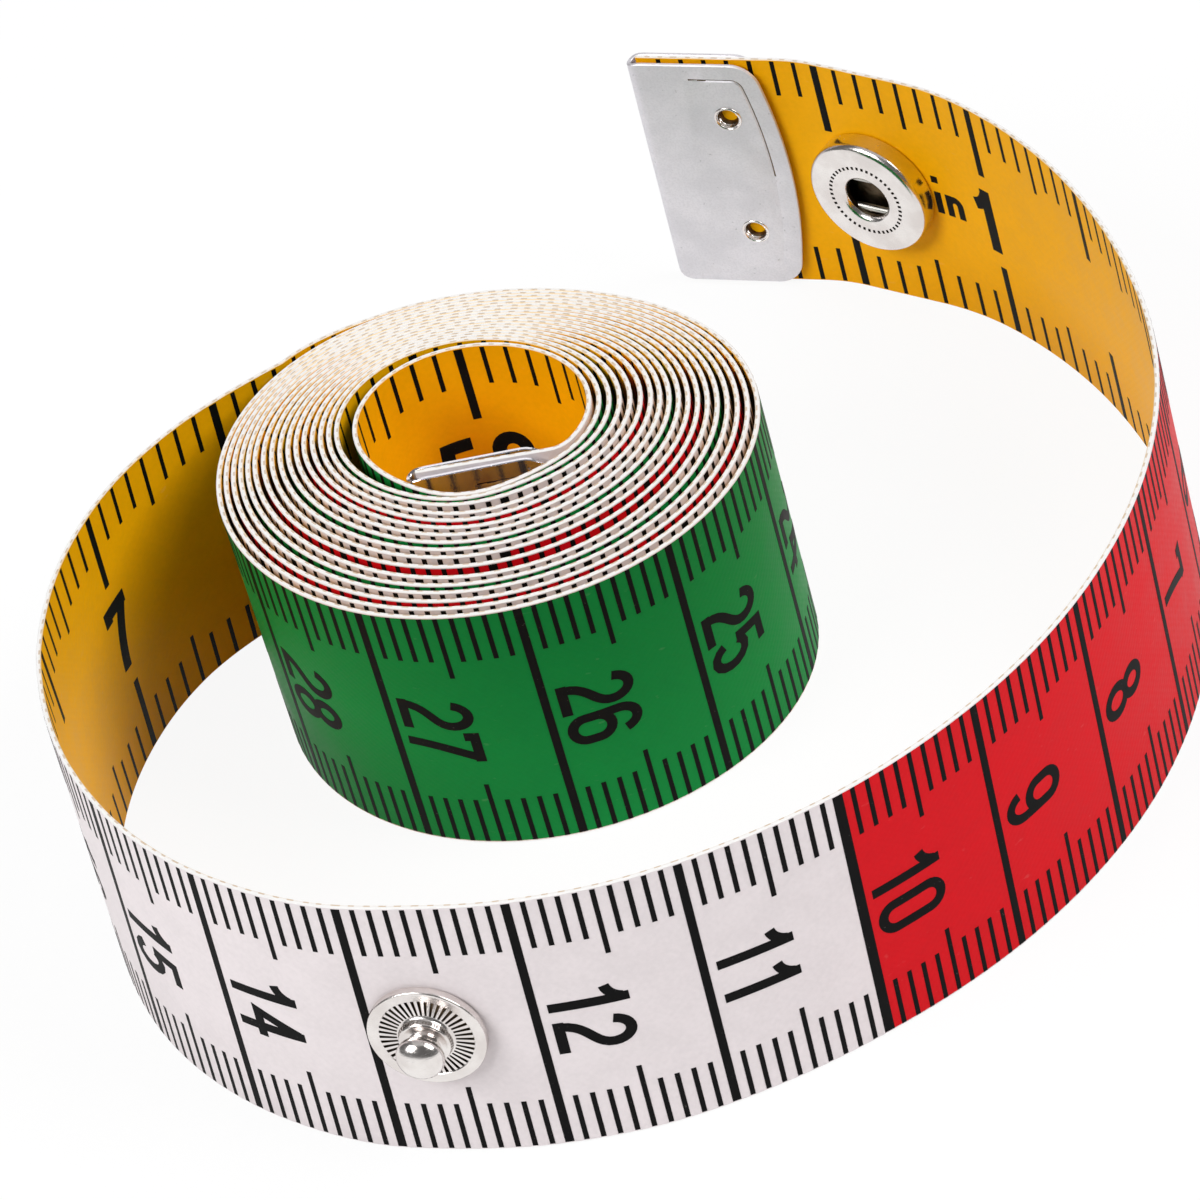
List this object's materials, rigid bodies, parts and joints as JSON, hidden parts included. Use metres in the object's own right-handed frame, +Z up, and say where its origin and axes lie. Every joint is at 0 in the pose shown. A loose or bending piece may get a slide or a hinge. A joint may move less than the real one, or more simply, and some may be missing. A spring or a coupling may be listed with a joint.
{
  "type": "cloth tape measure",
  "caption": "Flexible sewing tape measure standing on edge: a wide free loop with a metal end clip and press stud, and the rest wound in a coil.",
  "frame": {"origin": "bottom centre of the box round the whole tape, on the surface that the lower edge stands on", "axes": "+Z up across the tape's width, +Y away from the picture's viewer, +X to the viewer's right"},
  "size_m": [0.0712, 0.081, 0.019],
  "materials": {
    "tape": "coated woven tape, printed on both sides",
    "clip": "matt plated sheet",
    "snap": "bright nickel plate",
    "spring": "plain spring wire"
  },
  "bodies": {
    "coil": {"tape_coil": "tape", "inner_end_clip": "clip", "inner_clip_rivet_1": "snap", "inner_clip_rivet_2": "snap"},
    "back_stretch": {"tape_back": "tape"},
    "front_stretch": {"tape_front": "tape", "snap_stud": "snap", "stud_post": "snap"},
    "right_stretch": {"tape_right": "tape"},
    "end_stretch": {"tape_end": "tape", "outer_end_clip": "clip", "outer_clip_rivet_1": "snap", "outer_clip_rivet_2": "snap", "snap_cap": "snap", "snap_socket": "snap"},
    "spring_upper": {"socket_spring_upper": "spring"},
    "spring_lower": {"socket_spring_lower": "spring"}
  },
  "joints": [
    {"name": "fold_at_coil", "type": "hinge", "parent": "coil", "child": "back_stretch", "pos_m": [-0.01554, 0.01701, 0.0095], "axis": [0, 0, -1], "range_deg": [-8, 35], "stiffness_Nm_per_rad": 0.0018},
    {"name": "fold_left", "type": "hinge", "parent": "back_stretch", "child": "front_stretch", "pos_m": [-0.03296, -0.0229, 0.0095], "axis": [0, 0, -1], "range_deg": [-8, 35], "stiffness_Nm_per_rad": 0.0018},
    {"name": "fold_front", "type": "hinge", "parent": "front_stretch", "child": "right_stretch", "pos_m": [0.00945, -0.03706, 0.0095], "axis": [0, 0, -1], "range_deg": [-8, 35], "stiffness_Nm_per_rad": 0.0018},
    {"name": "fold_right", "type": "hinge", "parent": "right_stretch", "child": "end_stretch", "pos_m": [0.03545, 0.00148, 0.0095], "axis": [0, 0, -1], "range_deg": [-8, 35], "stiffness_Nm_per_rad": 0.0018},
    {"name": "spring_upper_slide", "type": "slide", "parent": "end_stretch", "child": "spring_upper", "axis": [0, 0, 1], "range_m": [0, 0.00045], "stiffness_N_per_m": 200},
    {"name": "spring_lower_slide", "type": "slide", "parent": "end_stretch", "child": "spring_lower", "axis": [0, 0, -1], "range_m": [0, 0.00045], "stiffness_N_per_m": 200}
  ],
  "couplings": [
    {"joint": "spring_lower_slide", "follows": "spring_upper_slide", "ratio": 1}
  ]
}
